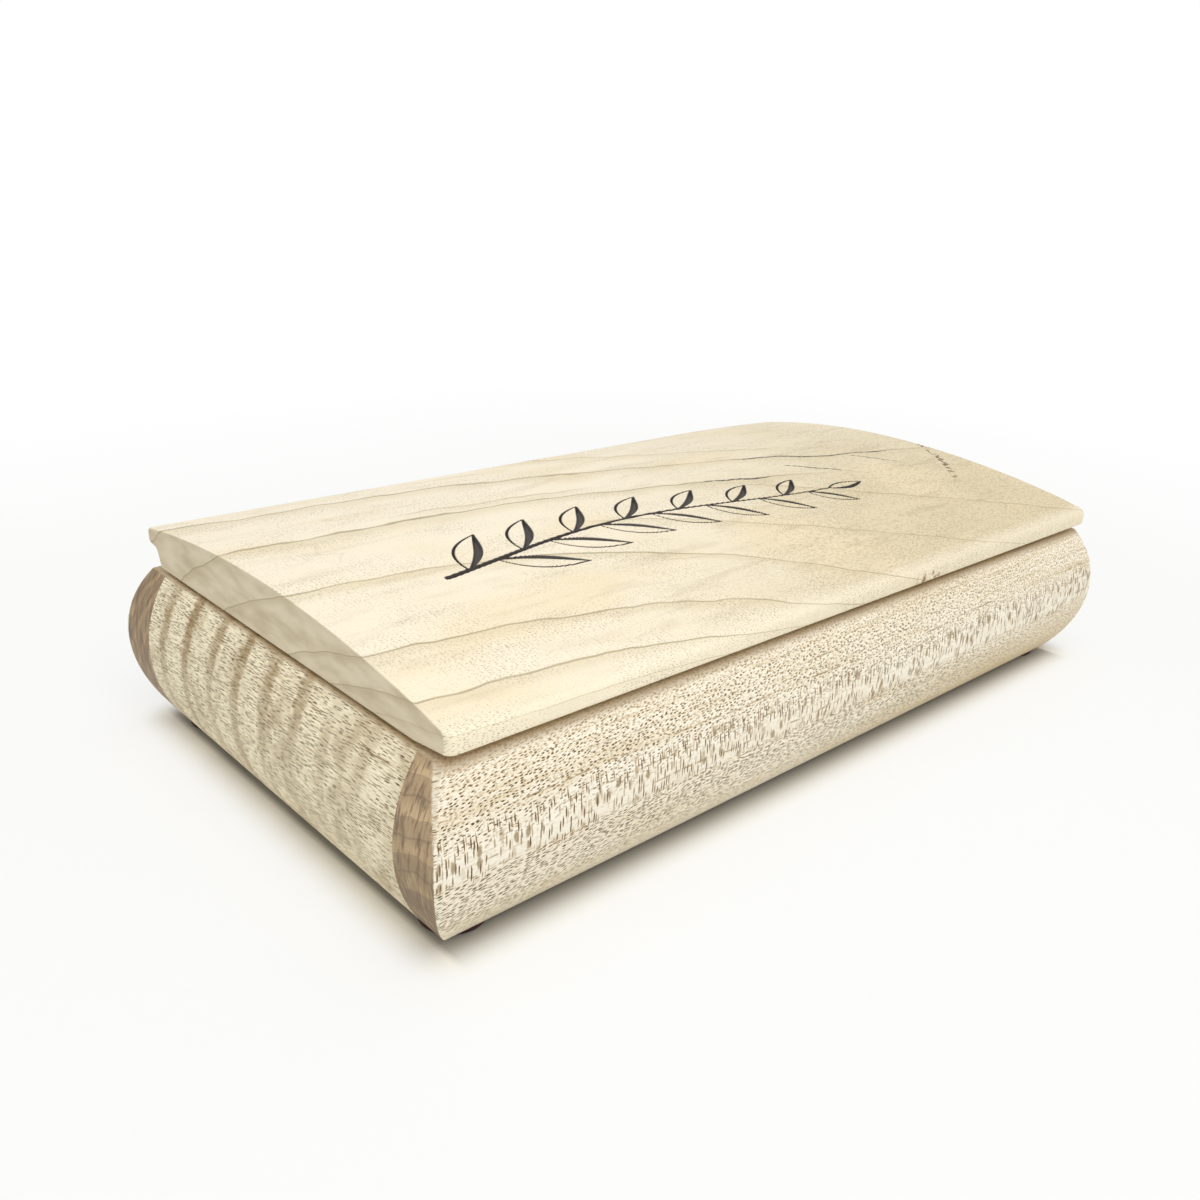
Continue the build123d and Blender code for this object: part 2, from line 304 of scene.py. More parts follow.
# Growth rings of the lid: place across the board in mm at its left end, how strongly the ring runs
# off to the front on the right, how dark it is, and where along the lid it starts and ends
LID_RINGS = (
    (75, 0.32, 0.50, -10, 80),
    (60, 0.20, 0.50, -115, -75),
    (51, 0.25, 0.80, -200, 200),
    (31, 0.22, 0.55, -75, -20),
    (26, 0.24, 0.90, -200, 60),
    (63, 0.66, 0.70, 30, 200),
    (16, 0.72, 0.60, -35, 200),
    (-6, 1.05, 0.80, -200, 200),
    (-50, 1.00, 0.85, -200, 200),
    (-77, 1.00, 0.80, -200, 200),
    (-98, 1.00, 0.45, -200, 200),
)
# Dark mineral streaks of the lid: place and run-off as for a ring, start and end
MINERAL_STREAKS = (
    (51, 0.25, 52, 114),
    (26, 0.24, 22, 47),
    (107, 0.73, 60, 78),
    (207, 1.10, 92, 106),
)
# How gently a ring and a streak start and end, and their half widths, in mm
RING_FADE, RING_WIDE = 15, 0.8
STREAK_FADE, STREAK_WIDE = 7, 1.5
LATE_WOOD = 9.0
RING_TILT = 2.9
RING_TURN = 0.025
RING_SWAY = 6.0
RING_JITTER = 6.0
RUN_OFF_START = -35.0
RUN_OFF_EASE = 30.0
RUN_OFF_SLOPE = 1.45
# The lid turns tan towards the right up to a limit, and towards the front
TAN_LIMIT = 75.0
TAN_EASE = 40.0
TAN_SLANT = -0.95
TAN_SWAY = 110.0
TAN_REACH = 190.0
# Bark: the tip of a parabola along and across the lid, how it bends, and a stain along the front edge
BARK_AT = (94.0, -39.0)
BARK_BEND = -0.0237
BARK_STAIN_AT = 36.0


def maple_lid(colours):
    """Flat-sawn hard maple, sanded and oiled: cream sapwood with a tan that grows to the right, a few thin
    grey-brown ring lines that run the length of the board and off its front, some mineral streaks, bark
    specks and faint speckle, and the dark strokes of the carving."""
    made, node, patches, place = new_finish("flat_sawn_maple")
    x, y, z = node("SeparateXYZ", place).node.outputs
    # Below the arch, about crown + rise * y - fall * y^2, the rings lie flatter towards the front
    crown = (LID_LOW[2] + LID_CROWN) / MM
    half = (LID_HIGH[1] - LID_LOW[1]) / MM / 2
    rise = (LID_BACK_THICK - LID_FRONT_THICK) / MM / (2 * half)
    fall = (LID_CROWN - (LID_BACK_THICK + LID_FRONT_THICK) / 2) / MM / half**2
    depth = node("Math.SUBTRACT", z, crown)
    arch = node("Math.MULTIPLY", node("Math.MULTIPLY_ADD", y, -fall, rise), y)
    under = node("Math.SUBTRACT", depth, arch)
    across = node("Math.MULTIPLY_ADD", depth, RING_TILT, y)
    across = node("Math.MULTIPLY_ADD", node("Math.MULTIPLY", under, y), -RING_TURN, across)
    swayed = node("Math.MULTIPLY_ADD", patches((48, 26, 90)), RING_SWAY, across)
    ring_place = node("Math.MULTIPLY_ADD", patches((18, 11, 28)), RING_JITTER, swayed)
    ring_place = node("Math.SUBTRACT", ring_place, (RING_SWAY + RING_JITTER) / 2)
    # Run-off: a bend that starts gently and then keeps its slope,
    # slope * ease * ln(1 + e^((x - start) / ease))
    eased = node("Math.MULTIPLY_ADD", x, 1 / RUN_OFF_EASE, -RUN_OFF_START / RUN_OFF_EASE)
    grown = node("Math.ADD", node("Math.EXPONENT", eased), 1.0)
    bend = node("Math.LOGARITHM", grown, np.e)
    bend = node("Math.MULTIPLY", bend, RUN_OFF_SLOPE * RUN_OFF_EASE)

    def ring_line(ring_at, run_off, start, stop, fade, wide):
        """How far a place lies from a ring, how much of the ring shows there, and its thin line."""
        level = node("Math.MULTIPLY_ADD", bend, run_off, node("Math.SUBTRACT", ring_place, ring_at))
        shown = overlap(node, (x, start - fade, start + fade), (x, stop + fade, stop - fade))
        return level, shown, overlap(node, (node("Math.ABSOLUTE", level), wide, LINE_CORE), shown)

    ring, shade, streak = 0.0, 0.0, 0.0
    for ring_at, run_off, dark, start, stop in LID_RINGS:
        level, shown, line = ring_line(ring_at, run_off, start, stop, RING_FADE, RING_WIDE)
        ring = node("Math.MAXIMUM", ring, overlap(node, line, dark))
        late = node("MapRange.SMOOTHERSTEP", level, -LATE_WOOD, 0.0, 0.0, dark)
        shade = node("Math.MAXIMUM", shade, overlap(node, late, (level, 0.7, -0.2), shown))
    for row in MINERAL_STREAKS:
        streak = node("Math.MAXIMUM", streak, ring_line(*row, STREAK_FADE, STREAK_WIDE)[2])
    far = node("Math.SMOOTH_MIN", x, TAN_LIMIT, TAN_EASE)
    far = node("Math.MULTIPLY_ADD", y, TAN_SLANT, far)
    far = node("Math.MULTIPLY_ADD", patches((46, 20, 60)), TAN_SWAY, far)
    tan = overlap(node, (far, 0.0, TAN_REACH, 0.0, 0.8))
    # Wiggly figure: the lines where a soft tone passes its middle, in some patches of the board
    wiggle = node("Math.ABSOLUTE", node("Math.SUBTRACT", patches((24, 13, 40), detail=1.5), 0.5))
    # Pores run over the front edge too, so height counts for them beside the place across
    grain = node("Math.MULTIPLY_ADD", z, 1.2, y)
    pores, chance = dashes(node, x, grain, *LID_PORES)
    # Mineral streaks break up at their ends
    crumbs = patches((2.2, 0.9, 2.0), 0.4, 0.58)
    streak = overlap(node, streak, node("MapRange", crumbs, 0.0, 1.0, 0.6, 1.0))
    # The tan has smudges and a fine mottle. The front edge is paler than the top: painted light on the
    # face that turns to the lamp
    tone = coat(
        node,
        colours.lid_cream,
        (tan, colours.lid_tan),
        (patches((50, 22, 40), 0.46, 0.68, 0.0, 0.6), colours.lid_warm),
        (shade, 0.5, colours.lid_tan),
        (
            patches((22, 4, 40), 0.52, 0.75, 0.0, 0.22),
            node("MapRange", tan, 0.0, 0.8, 0.8, 1.5),
            colours.lid_end_dark,
        ),
        ((wiggle, 0.02, 0.001, 0.0, 0.15), patches((30, 24, 70), 0.55, 0.64, detail=1.0), colours.ring),
        (patches((1.5, 0.7, 4.0), 0.46, 0.66, 0.0, 0.6, detail=3.0), tan, colours.lid_end_dark),
        # Painted light: the front edge turns pale where it faces the lamp
        ((y, -65.0, -71.5, 0.0, 0.6), colours.lid_cream),
        (pores, patches((34, 15, 30), 0.38, 0.62, 0.2, 0.75), chance, colours.tick),
        (ring, patches((26, 20, 60), 0.3, 0.6, 0.65, 1.0, detail=1.0), colours.ring),
        ((streak, 0.3, 0.75, 0.0, 0.95), colours.mineral),
    )
    # Bark left dark specks near the right end, on the parabola, and a stain on the front edge
    off = node("Math.SUBTRACT", x, BARK_AT[0])
    curve = node("Math.MULTIPLY_ADD", node("Math.MULTIPLY", off, off), BARK_BEND, y)
    apart = node("Math.ABSOLUTE", node("Math.SUBTRACT", curve, BARK_AT[1]))
    grit = patches((1.6, 1.9, 2.0), 0.48, 0.6, detail=4.0)
    bark = overlap(node, (apart, 3.6, 0.4), (x, 96.0, 122.0), node("MapRange", under, -3.0, -1.0), grit)
    tone = stain(node, tone, colours, colours.tick, (bark, 0.1, 0.8, 0.0, 0.9))
    along = node("Math.ABSOLUTE", node("Math.SUBTRACT", x, BARK_STAIN_AT))
    edge = node("MapRange", y, -69.5, -71.0)
    tone = coat(
        node, tone, (grit, (along, 9.0, 2.0), (depth, -9.8, -11.2, 0.0, 0.9), edge, colours.fleck)
    )
    # The cut ends, and the char of the carving
    cut = coat(
        node,
        colours.lid_end,
        (patches((12, 13.0, 4.0), 0.3, 0.75, 0.0, 0.7, detail=4.0), colours.lid_end_dark),
        (shade, 0.45, colours.lid_end_dark),
        (ring, 0.8, colours.ring),
    )
    end = node("Attribute", attribute_name="end_grain").node.outputs["Fac"]
    carved = node("Attribute", attribute_name="carving").node.outputs["Fac"]
    tone = coat(node, tone, (end, cut), ((carved, -0.08, 0.1), colours.char))
    return oiled(made, node, tone, pores)


# The walls bulge as arcs about an axis this far above the floor, their radius inside their outer faces
BULGE_RADIUS = 36.0
BULGE_Z = 25.6


def round_bulge(node, out, z, outer):
    """Place on a wall's bulge in mm above its widest line: radius * atan2(rise, reach), with the rise and
    the reach counted from the bulge's axis. Also says how far inside the outer arc the place lies."""
    rise = node("Math.SUBTRACT", z, BULGE_Z)
    reach = node("Math.SUBTRACT", node("Math.ABSOLUTE", out), outer / MM - BULGE_RADIUS)
    angle = node("Math.ARCTAN2", rise, reach)
    chord = node("Math.SUBTRACT", BULGE_RADIUS**2, node("Math.MULTIPLY", rise, rise))
    inside = node("Math.SUBTRACT", node("Math.SQRT", chord), reach)
    return node("Math.MULTIPLY", angle, BULGE_RADIUS), inside


def painted_rim_shade(node, z, tone, colours, wall, deep):
    """Darkens the last millimetres below a wall's rim, and its top, towards the end grain's brown:
    painted shade where the lid hangs over the wall.
    """
    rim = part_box(wall)[1][2] / MM
    return coat(node, tone, ((z, rim - deep, rim - 0.1, 0.0, 0.7), colours.end_grain))


# Long growth lines of the front and back walls: height in mm and darkness
WALL_LINES = (
    (43.0, 0.3), (39.5, 0.4), (35.2, 0.6), (30.5, 0.45),
    (25.4, 0.6), (18.0, 0.3), (9.0, 0.4), (6.5, 0.3),
)
WALL_LINE_WIDE = 0.38
WALL_WANDER = 5.0
PORE_WAVE = 1.8
PORE_LEAN = -0.12
FLECK_STRAY = 5.0
FLECK_FRAY = 1.2
# Depth in mm of the painted shade below the rim of the front and back walls
FRONT_RIM_SHADE = 2.4
END_FRAY = 1.4
END_RING_PITCH = 8.5
END_RING_WAVE = 4.0
CORNER_WEDGE = 3.0


def maple_walls(colours):
    """Hard maple board near the quarter, sanded and oiled: a cream face full of short dark pores, a pale
    band of ray flecks along the middle, finer grain below, and brown end grain at both ends."""
    made, node, patches, place = new_finish("quarter_sawn_maple")
    x, y, z = node("SeparateXYZ", place).node.outputs
    height = node("Math.MULTIPLY_ADD", patches((45, 30, 40)), WALL_WANDER, z)
    height = node("Math.SUBTRACT", height, WALL_WANDER / 2)
    bulge, inside = round_bulge(node, y, z, -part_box("front_wall")[0][1])
    wavy = node("Math.MULTIPLY_ADD", patches((8, 6, 5)), PORE_WAVE, bulge)
    lean = node("Math.MULTIPLY_ADD", x, PORE_LEAN, wavy)
    # The fleck band lies between the wood over it and the wood under it
    over = overlap(node, (height, 31.0, 36.0))
    under = overlap(node, (height, 24.5, 21.0))
    band = node("Math.SUBTRACT", 1.0, node("Math.ADD", over, under))
    silk = patches((22, 8, 0.6), 0.42, 0.72, 0.0, 0.45, detail=3.0)
    haze, chance = dashes(node, x, lean, *WALL_HAZE)
    # It is tanner low down, most of all to the right
    tone = coat(
        node,
        colours.wall_cream,
        (patches((60, 30, 7), 0.42, 0.7, 0.0, 0.3), colours.wall_tan),
        (band, 0.85, colours.wall_pale),
        ((height, 24.0, 8.0), (x, 0.0, 95.0, 0.0, 0.6), colours.wall_tan),
        (silk, node("MapRange", over, 0.0, 1.0, 0.4, 1.0), colours.wall_tan),
        (haze, chance, 0.75, over, colours.pore_rim),
    )
    # Pores: darkest in a belt over the flecks, softer under the lid and to the right, finer below
    clear = node("MapRange", x, 20.0, 130.0, 1.0, 0.6)
    pores, chance = dashes(node, x, lean, *WALL_PORES)
    belt = overlap(node, (height, 25.0, 33.0, 0.15, 1.0), (height, 47.0, 40.0, 0.5, 1.0))
    tone = stain(node, tone, colours, colours.tick, pores, (chance, 0.05, 0.8, 0.25, 1.0), belt, clear)
    fine, chance = dashes(node, x, lean, *FINE_PORES)
    fine = overlap(node, fine, (chance, 0.1, 0.6, 0.2, 1.0), under, (height, 2.0, 14.0, 0.35, 1.0))
    tone = stain(node, tone, colours, colours.tick, fine, clear)
    # Flecks come in groups that reach up or down a little: thin upright lines, and fewer broad ones
    stray = node("Math.MULTIPLY_ADD", patches((5, 3, 60)), FLECK_STRAY, height)
    stray = node("Math.SUBTRACT", stray, FLECK_STRAY / 2)
    rows = overlap(node, (stray, 20.5, 23.5), (stray, 35.0, 31.0))
    frayed = node("Math.MULTIPLY_ADD", patches((0.8, 9, 2.0)), FLECK_FRAY, x)
    for along, sizes, rare, strength in ((frayed, BROAD_FLECKS, 0.5, 0.6), (x, THIN_FLECKS, 0.2, 1.0)):
        flecks, chance = dashes(node, along, stray, *sizes)
        hue = node("MapRange", chance, rare, 1.0, 1.0, 0.2)
        core = coat(node, colours.tick, (hue, colours.fleck))
        tone = stain(node, tone, colours, core, flecks, (chance, rare, 0.9, 0.0, strength), rows)
    # Growth lines show as rows of darker dots
    dots = patches((2.4, 3, 3), 0.4, 0.58, 0.15, 1.0)
    broken = overlap(node, patches((18, 9, 9), 0.38, 0.62, 0.1, 1.0), dots)
    tone = growth_lines(node, tone, height, WALL_LINES, WALL_LINE_WIDE, broken, colours)
    # Painted shade below the rim, under the lid's front and back edges
    tone = painted_rim_shade(node, z, tone, colours, "front_wall", FRONT_RIM_SHADE)
    # End grain: it ends at the corner, which the front board has eased in a wedge that widens to the top
    normal = node("NewGeometry").node.outputs["Normal"]
    facing = node("Math.ABSOLUTE", node("SeparateXYZ", normal))
    front = node("MapRange", y, 1.0, -1.0)
    wedge = overlap(node, node("MapRange", z, 30.0, 46.5, 0.0, CORNER_WEDGE), front)
    kept = node("Math.SUBTRACT", inside, wedge)
    kept = node("Math.MULTIPLY_ADD", patches((1.5, 0.5, 2.0), detail=3.0), END_FRAY, kept)
    # The front board's is light above and dark below. It has upright fibres, and rings that darken up to
    # a thin line, flat in the front board and at a slant in the back one
    fibre = patches((3, 1.0, 5), detail=5.0)
    slope = node("MapRange", y, -1.0, 1.0, 0.3, 1.4)
    slant = node("Math.MULTIPLY_ADD", y, slope, height)
    slant = node("Math.MULTIPLY_ADD", patches((14, 8, 12), detail=1.0), END_RING_WAVE, slant)
    turn = node("Math.FRACT", node("Math.MULTIPLY", slant, 1 / END_RING_PITCH))
    apart = node("Math.ABSOLUTE", node("Math.SUBTRACT", turn, 0.5))
    line = overlap(node, (apart, 0.1, 0.0, 0.0, 0.6))
    line = node("Math.MAXIMUM", line, overlap(node, (turn, 0.1, 0.5, 0.0, 0.35)))
    cut = coat(
        node,
        colours.end_grain,
        ((height, 18.0, 36.0, 0.0, 0.9), front, colours.end_light),
        ((height, 22.0, 12.0, 0.0, 0.5), front, colours.end_dark),
        ((fibre, 0.48, 0.66, 0.0, 0.75), colours.end_dark),
        ((fibre, 0.46, 0.28, 0.0, 0.6), colours.wall_tan),
        (line, colours.end_dark),
    )
    tone = coat(node, tone, ((facing, 0.5, 0.85), (kept, 0.2, 1.2), cut))
    return oiled(made, node, tone, pores)


CURL_PITCH = 14.0
CURL_AT = 52.0
CURL_WANDER = 6.0
CURL_FRAY = 5.0
# Depth in mm of the painted shade below the rim of the end walls
END_RIM_SHADE = 0.9
# Growth lines of the end walls: height in mm on a waved scale, and darkness
CURL_LINES = ((43.5, 0.7), (35.0, 0.4), (19.0, 0.6), (12.0, 0.35))
CURL_LINE_WAVE = 4.0
CURL_LINE_WIDE = 0.3
CURL_PORE_LEAN = 0.05


def curly_maple(colours):
    """Curly maple, sanded and oiled: upright bands of light and shade about 14 mm apart that fade
    towards the front, with short dark pores along the grain."""
    made, node, patches, place = new_finish("curly_maple")
    x, y, z = node("SeparateXYZ", place).node.outputs
    swayed = node("Math.MULTIPLY_ADD", patches((60, 24, 30)), CURL_WANDER, y)
    frayed = node("Math.MULTIPLY_ADD", patches((3, 3, 0.7), detail=3.0), CURL_FRAY, swayed)
    turn = 2 * pi / CURL_PITCH
    phase = node("Math.MULTIPLY_ADD", frayed, turn, -turn * (CURL_AT + (CURL_WANDER + CURL_FRAY) / 2))
    curl = overlap(
        node,
        (node("Math.COSINE", phase), 0.0, 1.0, 0.0, 0.82),
        (y, -45.0, 10.0, 0.5, 1.0),
        (z, 24.0, 42.0, 0.8, 1.2),
        patches((30, 11, 18), 0.3, 0.6, 0.4, 1.0),
    )
    mottle = patches((30, 9, 10), 0.46, 0.72, 0.0, 0.6, detail=4.0)
    figure = node("Math.MAXIMUM", curl, mottle)
    # Fine streaks along the grain fray the figure and show on the light wood too
    streaks = patches((3, 4.2, 0.26))
    figure = overlap(node, figure, node("MapRange", streaks, 0.35, 0.62, 0.7, 1.15))
    figure = node("Math.MAXIMUM", figure, overlap(node, (streaks, 0.44, 0.7, 0.0, 0.5)))
    tone = coat(node, colours.curl_light, (figure, colours.curl_dark))
    bulge = round_bulge(node, x, z, -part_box("left_wall")[0][0])[0]
    lean = node("Math.MULTIPLY_ADD", y, CURL_PORE_LEAN, bulge)
    pores, chance = dashes(node, y, lean, *CURL_PORES)
    tone = stain(node, tone, colours, colours.tick, pores, (chance, 0.25, 0.95))
    wavy = node("Math.MULTIPLY_ADD", patches((30, 12, 30)), CURL_LINE_WAVE, z)
    broken = patches((9, 16, 9), 0.48, 0.6)
    tone = growth_lines(node, tone, wavy, CURL_LINES, CURL_LINE_WIDE, broken, colours)
    # Painted shade below the rim, under the lid's ends
    tone = painted_rim_shade(node, z, tone, colours, "left_wall", END_RIM_SHADE)
    return oiled(made, node, tone, pores)


def plain_maple(colours):
    """Thin maple panel, sanded: even cream with long soft grain."""
    made, node, patches, place = new_finish("panel_maple")
    x, y = node("SeparateXYZ", place).node.outputs[:2]
    silk = patches((40, 1.2, 4), 0.3, 0.7, detail=4.0)
    pores, chance = dashes(node, x, y, *PANEL_PORES)
    tone = coat(
        node, colours.wall_cream, (silk, colours.wall_tan), (pores, chance, 0.5, colours.tick)
    )
    return oiled(made, node, tone, pores)


def darker(colour, share):
    return tuple(channel * share for channel in colour)


def wool_felt(colours):
    """Pressed wool felt: a dull, slightly uneven brown of tangled fibres about 0.3 mm apart."""
    made, node, patches = new_finish("wool_felt")[:3]
    tangle = patches((0.9, 0.9, 0.9), detail=6.0)
    dark = darker(colours.felt, 0.6)
    worn = patches((12, 12, 12), 0.3, 0.8, 0.0, 0.25)
    tone = coat(node, dark, ((tangle, 0.3, 0.7), colours.felt), (worn, dark))
    bump = node("Bump", 0.6, 0.3 * MM, None, tangle)
    return set_shader(made, Base_Color=tone, Normal=bump, Roughness=0.95, Sheen_Weight=0.25)


def drawn_brass(colours):
    """Drawn brass, satin: fine lines along the hinge and a thin uneven tarnish."""
    made, node, patches = new_finish("drawn_brass")[:3]
    lines = patches((9, 0.25, 0.25), detail=3.0)
    tarnish = patches((5, 3, 3), 0.35, 0.75)
    tone = coat(node, colours.brass, (tarnish, darker(colours.brass, 0.62)))
    rough = node("MapRange.SMOOTHSTEP", lines, 0.3, 0.7, 0.22, 0.4)
    bump = node("Bump", 0.15, 0.05 * MM, None, lines)
    return set_shader(made, Base_Color=tone, Normal=bump, Roughness=rough, Metallic=1.0)


def foot_leather(colours):
    """Cut leather discs: dark red brown with a fine pebbled grain about 0.5 mm wide."""
    made, node, patches = new_finish("foot_leather")[:3]
    pebble = patches((0.6, 0.6, 0.6), detail=4.0)
    tone = coat(node, darker(colours.leather, 0.5), ((pebble, 0.35, 0.65), colours.leather))
    bump = node("Bump", 0.5, 0.2 * MM, None, pebble)
    return set_shader(made, Base_Color=tone, Normal=bump, Roughness=0.7)


def clear_rubber(colours):
    """Soft clear polyurethane dots: milky, smooth, with a dull shine."""
    made, node, patches = new_finish("clear_rubber")[:3]
    tone = coat(node, colours.rubber, (patches((2, 2, 2)), darker(colours.rubber, 0.85)))
    return set_shader(made, Base_Color=tone, Roughness=0.3, Transmission_Weight=0.5)


def dress(node, made):
    """Gives a CAD node a finish in place of its plain one."""
    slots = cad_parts[node].data.materials
    slots.clear()
    slots.append(made)


def skin(name, rings, made, body, node):
    """Skins closed rings of points, an array of shape (rings, points, 3), with quads, closes both ends
    and puts the piece on its body in place of its CAD node."""
    count, width = rings.shape[:2]
    number = np.arange(count * width).reshape(count, width)
    ahead = np.roll(number, -1, axis=1)
    quads = np.stack([number[:-1], ahead[:-1], ahead[1:], number[1:]], axis=-1).reshape(-1, 4)
    ends = [number[0, ::-1].tolist(), number[-1].tolist()]
    mesh = bpy.data.meshes.new(name)
    mesh.from_pydata(rings.reshape(-1, 3), [], quads.tolist() + ends)
    mesh.polygons.foreach_set("use_smooth", np.ones(len(mesh.polygons), bool))
    mesh.set_sharp_from_angle(angle=SHARP_ANGLE)
    mesh.materials.append(made)
    piece = bpy.data.objects.new(name, mesh)
    bpy.context.scene.collection.objects.link(piece)
    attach(piece, body)
    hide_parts(node)
    return piece


def corner_round(before, corner, after, radius, steps=6):
    """Points of an arc that rounds a corner: it leaves each side radius * tan(turn / 2) from there."""
    inward = (corner - before) / np.linalg.norm(corner - before)
    outward = (after - corner) / np.linalg.norm(after - corner)
    turn = np.arctan2(inward[0] * outward[1] - inward[1] * outward[0], inward @ outward)
    start = corner - inward * radius * np.tan(abs(turn) / 2)
    side = np.sign(turn) * np.array([-inward[1], inward[0]])
    angle = np.linspace(0, abs(turn), steps)[:, None]
    return start + radius * (np.sin(angle) * inward + (1 - np.cos(angle)) * side)


def arch_heights(y):
    """Heights of the lid's top over its underside: the circle through front edge, crown and back edge."""
    front, back = LID_LOW[1], LID_HIGH[1]
    points = np.array([[front, LID_FRONT_THICK], [(front + back) / 2, LID_CROWN], [back, LID_BACK_THICK]])
    centre_y, centre_z, rest = np.linalg.solve(np.c_[2 * points, np.ones(3)], (points**2).sum(axis=1))
    return centre_z + np.sqrt(rest + centre_y**2 + centre_z**2 - (y - centre_y) ** 2)


def lid_outline(top_y, under_y):
    """The lid's closed section as (y, height) points: from the front edge over the arch to the lip, into
    the hollow, along the underside and up the finger bevel. Also says which points are the arch."""
    front, back = LID_LOW[1], LID_HIGH[1]
    front_low, front_high, back_high, back_low, riser_high, riser_low, bevel = np.array([
        (front, FINGER_RISE),
        (front, LID_FRONT_THICK),
        (back, LID_BACK_THICK),
        (back, LIP_RISE + LIP_LIFT),
        (back - LIP_DEPTH + RISER_LEAN, LIP_RISE),
        (back - LIP_DEPTH, 0.0),
        (front + FINGER_RUN, 0.0),
    ])
    near_ends = np.array([front + TINY, back - TINY])
    after_front, before_back = np.c_[near_ends, arch_heights(near_ends)]
    arch = np.c_[top_y, arch_heights(top_y)]
    front_round = corner_round(front_low, front_high, after_front, FRONT_TOP_RADIUS)
    parts = [
        front_round,
        arch,
        corner_round(before_back, back_high, back_low, LIP_RADIUS),
        corner_round(back_high, back_low, riser_high, LIP_RADIUS),
        corner_round(back_low, riser_high, riser_low, HOLLOW_RADIUS),
        corner_round(riser_high, riser_low, bevel, RISER_FOOT_RADIUS, 5),
        np.c_[under_y, np.zeros_like(under_y)],
        corner_round(riser_low, bevel, front_low, BEVEL_RADIUS, 4),
        corner_round(bevel, front_low, front_high, FRONT_EDGE_RADIUS),
    ]
    return np.concatenate(parts), np.arange(len(front_round), len(front_round) + len(arch))


def inward_normals(outline):
    """Unit normals that point into a clockwise closed outline, from each point's two neighbours."""
    along = np.roll(outline, -1, axis=0) - np.roll(outline, 1, axis=0)
    normal = np.c_[along[:, 1], -along[:, 0]]
    return normal / np.linalg.norm(normal, axis=1)[:, None]


LEAF_COUNT = 14  # leaves of the carved sprig, beside the one at its tip
STEM_WAVES = 0.8
STEM_LAG = 0.6
FIRST_LEAF = 0.05  # share of the stem below its first leaf
# Sizes in mm at the foot of the stem, and how they change up to its tip
STEM_HALF_WIDTH = (1.0, -0.6)
LEAF_LENGTH = (27, -10)
LEAF_BELLY = (3.3, -1.2)
BOLD_EDGE = (0.95, -0.3)
# Half widths in mm of the ends of a leaf's bold and thin edge, and how much the thin one swells
BOLD_END = 0.35
THIN_END = 0.3
THIN_SWELL = 0.15
LEAF_LEAN = (0.95, -0.45)  # radians off the stem at a leaf's foot, and the change up to its tip


def changed(size, share):
    """A size that changes evenly from its first value."""
    return size[0] + size[1] * share


def sprig_strokes(sizes):
    """The carved sprig as strokes, rows of x, y and half width. The stem is a sine that thins to its tip.
    Leaves leave it on both sides by turns along bent axes: each has a thick and a thin edge, half a sine
    off the axis."""
    swing = 2 * pi * STEM_WAVES

    def stem(t):
        return np.array([
            sizes.sprig_x + sizes.sprig_length * (t - 0.5),
            sizes.sprig_y + sizes.sprig_sway * np.sin(swing * t - STEM_LAG),
        ])

    along = np.linspace(0, 1, 90)
    strokes = [np.c_[stem(along).T, MM * changed(STEM_HALF_WIDTH, along)]]
    share = np.linspace(0, 1, 26)
    swell = np.sin(pi * share)
    for index in range(LEAF_COUNT + 1):
        t = FIRST_LEAF + (1 - FIRST_LEAF) * index / LEAF_COUNT
        side = (-1) ** index * (index < LEAF_COUNT)
        heading = np.arctan2(sizes.sprig_sway * swing * cos(swing * t - STEM_LAG), sizes.sprig_length)
        angle = heading + side * changed(LEAF_LEAN, share)
        length = MM * changed(LEAF_LENGTH, t)
        axis = np.cumsum(np.c_[np.cos(angle), np.sin(angle)], axis=0) * length / len(share)
        axis += stem(t) - axis[0]
        belly = MM * changed(LEAF_BELLY, t) * np.sin(pi * share**0.9)
        across = np.c_[-np.sin(angle), np.cos(angle)] * belly[:, None]
        lead = side or 1
        strokes.append(np.c_[axis - lead * across, MM * (BOLD_END + changed(BOLD_EDGE, t) * swell)])
        strokes.append(np.c_[axis + lead * across, MM * (THIN_END + THIN_SWELL * swell)])
    return strokes


def stroke_inside(x, y, stroke):
    """How far points lie inside a stroke: for each straight piece of it, the half width there minus the
    distance to it, and of all pieces the largest."""
    start, step = stroke[:-1], np.diff(stroke, axis=0)
    off_x, off_y = x[..., None] - start[:, 0], y[..., None] - start[:, 1]
    share = np.clip((off_x * step[:, 0] + off_y * step[:, 1]) / (step[:, :2] ** 2).sum(axis=1), 0, 1)
    distance = np.hypot(off_x - share * step[:, 0], off_y - share * step[:, 1])
    return (start[:, 2] + share * step[:, 2] - distance).max(axis=-1)


def carving_inside(x, y, strokes, margin):
    """How far the points of a grid, with lines x and y, lie inside any stroke, up to a margin about it."""
    inside = np.full((len(x), len(y)), -margin)
    for stroke in strokes:
        low = stroke[:, :2].min(axis=0) - margin
        high = stroke[:, :2].max(axis=0) + margin
        near = np.ix_((x > low[0]) & (x < high[0]), (y > low[1]) & (y < high[1]))
        grid_x, grid_y = (lines[near] for lines in np.meshgrid(x, y, indexing="ij"))
        inside[near] = np.maximum(inside[near], stroke_inside(grid_x, grid_y, stroke))
    return inside


CARVE_MARGIN = 3 * MM  # room of fine lines round the carving
PLAIN_STEP = 6 * MM  # spacing of the lines beside it
PLAIN_ROOM = (4 * MM, 2 * MM)  # how far these stay off the left and the right end
UNDER_LINE = 20 * MM  # how far two lines along the underside lie off its middle
EDGE_ROOM = 1.5  # room of a rounded edge, in its radius
END_INSET = 1.3  # inset of the last ring at an end, in the arris's radius
CORNER_FADE = 4  # how far back a front corner's rounding reaches, in its radius
CARVE_LEAD = 0.05 * MM  # how far outside a stroke its side starts to sink
CARVE_SLOPE = 0.55 * MM  # run of that side


def drawn_in(to_end, radius):
    """How far a quarter circle draws a surface in, at a distance from its end."""
    reach = np.clip(radius - to_end, 0, radius)
    return radius - np.sqrt(radius**2 - reach**2)


